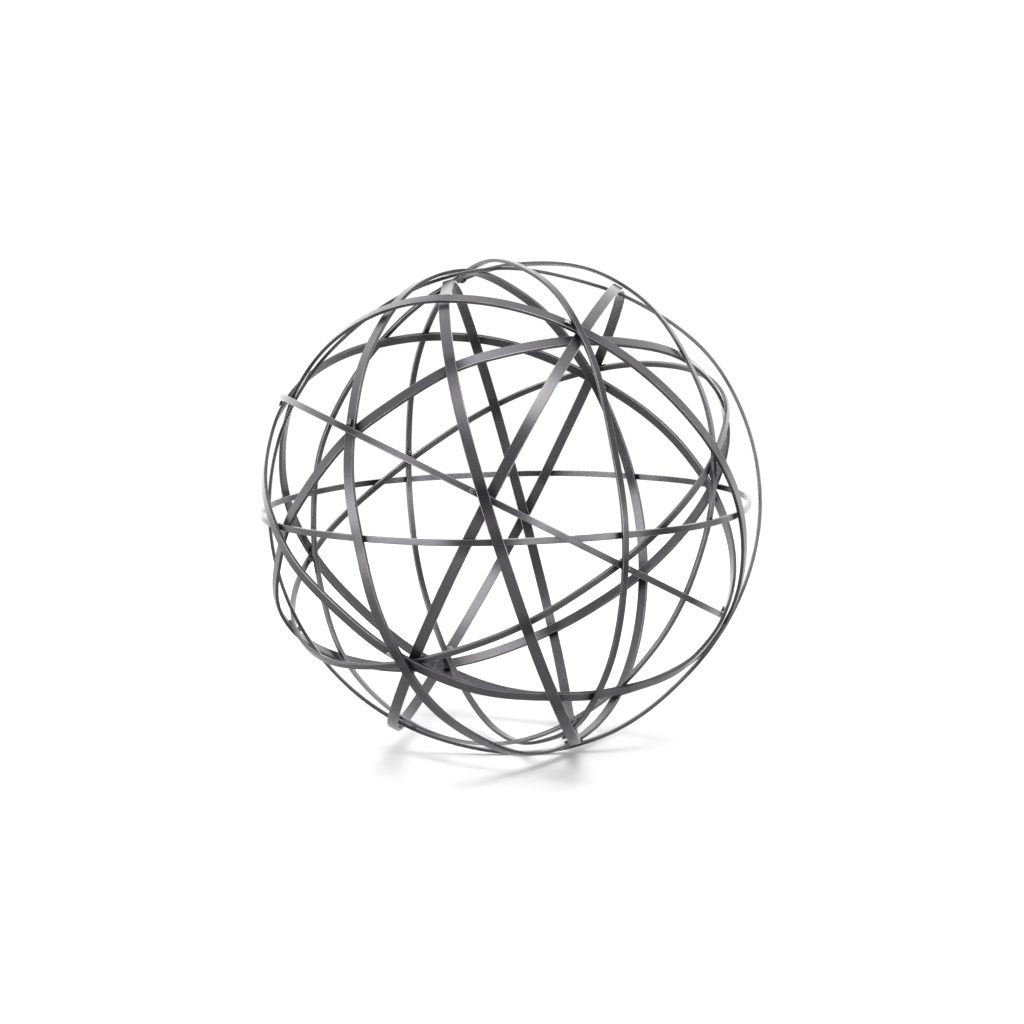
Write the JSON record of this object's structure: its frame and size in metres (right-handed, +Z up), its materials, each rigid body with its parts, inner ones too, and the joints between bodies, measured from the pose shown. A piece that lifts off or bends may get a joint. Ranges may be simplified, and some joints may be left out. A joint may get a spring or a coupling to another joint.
{
  "type": "decorative openwork ball",
  "caption": "Openwork decorative ball of flat metal strap hoops, woven over and under one another and welded where they cross.",
  "frame": {"origin": "on the surface that the ball stands on, under the middle of its bounding box", "axes": "+Z up, -Y towards the side usually seen, +X to that viewer's right"},
  "size_m": [0.2066, 0.2064, 0.2056],
  "materials": {
    "strap_paint": "smooth satin graphite paint over rolled steel strap, with a fine bright line along the edges",
    "weld_metal": "thinly painted weld beads with a bright, glossy skin"
  },
  "bodies": {
    "root": {"hoop_square_a": "strap_paint", "hoop_square_b": "strap_paint", "hoop_square_c": "strap_paint", "hoop_half_a": "strap_paint", "hoop_half_b": "strap_paint", "hoop_half_c": "strap_paint", "hoop_half_d": "strap_paint", "hoop_half_e": "strap_paint", "hoop_half_f": "strap_paint", "hoop_leaning_a": "strap_paint", "hoop_leaning_b": "strap_paint", "hoop_leaning_c": "strap_paint", "weld_outer_01": "weld_metal", "weld_inner_01": "weld_metal", "weld_outer_02": "weld_metal", "weld_inner_02": "weld_metal", "weld_outer_03": "weld_metal", "weld_inner_03": "weld_metal", "weld_outer_04": "weld_metal", "weld_inner_04": "weld_metal", "weld_outer_05": "weld_metal", "weld_inner_05": "weld_metal", "weld_outer_06": "weld_metal", "weld_inner_06": "weld_metal", "weld_outer_07": "weld_metal", "weld_inner_07": "weld_metal", "weld_outer_08": "weld_metal", "weld_inner_08": "weld_metal", "weld_outer_09": "weld_metal", "weld_inner_09": "weld_metal", "weld_outer_10": "weld_metal", "weld_inner_10": "weld_metal", "weld_outer_11": "weld_metal", "weld_inner_11": "weld_metal", "weld_outer_12": "weld_metal", "weld_inner_12": "weld_metal", "weld_outer_13": "weld_metal", "weld_inner_13": "weld_metal", "weld_outer_14": "weld_metal", "weld_inner_14": "weld_metal", "weld_outer_15": "weld_metal", "weld_inner_15": "weld_metal", "weld_outer_16": "weld_metal", "weld_inner_16": "weld_metal", "weld_outer_17": "weld_metal", "weld_inner_17": "weld_metal", "weld_outer_18": "weld_metal", "weld_inner_18": "weld_metal", "weld_outer_19": "weld_metal", "weld_inner_19": "weld_metal", "weld_outer_20": "weld_metal", "weld_inner_20": "weld_metal", "weld_outer_21": "weld_metal", "weld_inner_21": "weld_metal", "weld_inner_22": "weld_metal"}
  },
  "joints": []
}
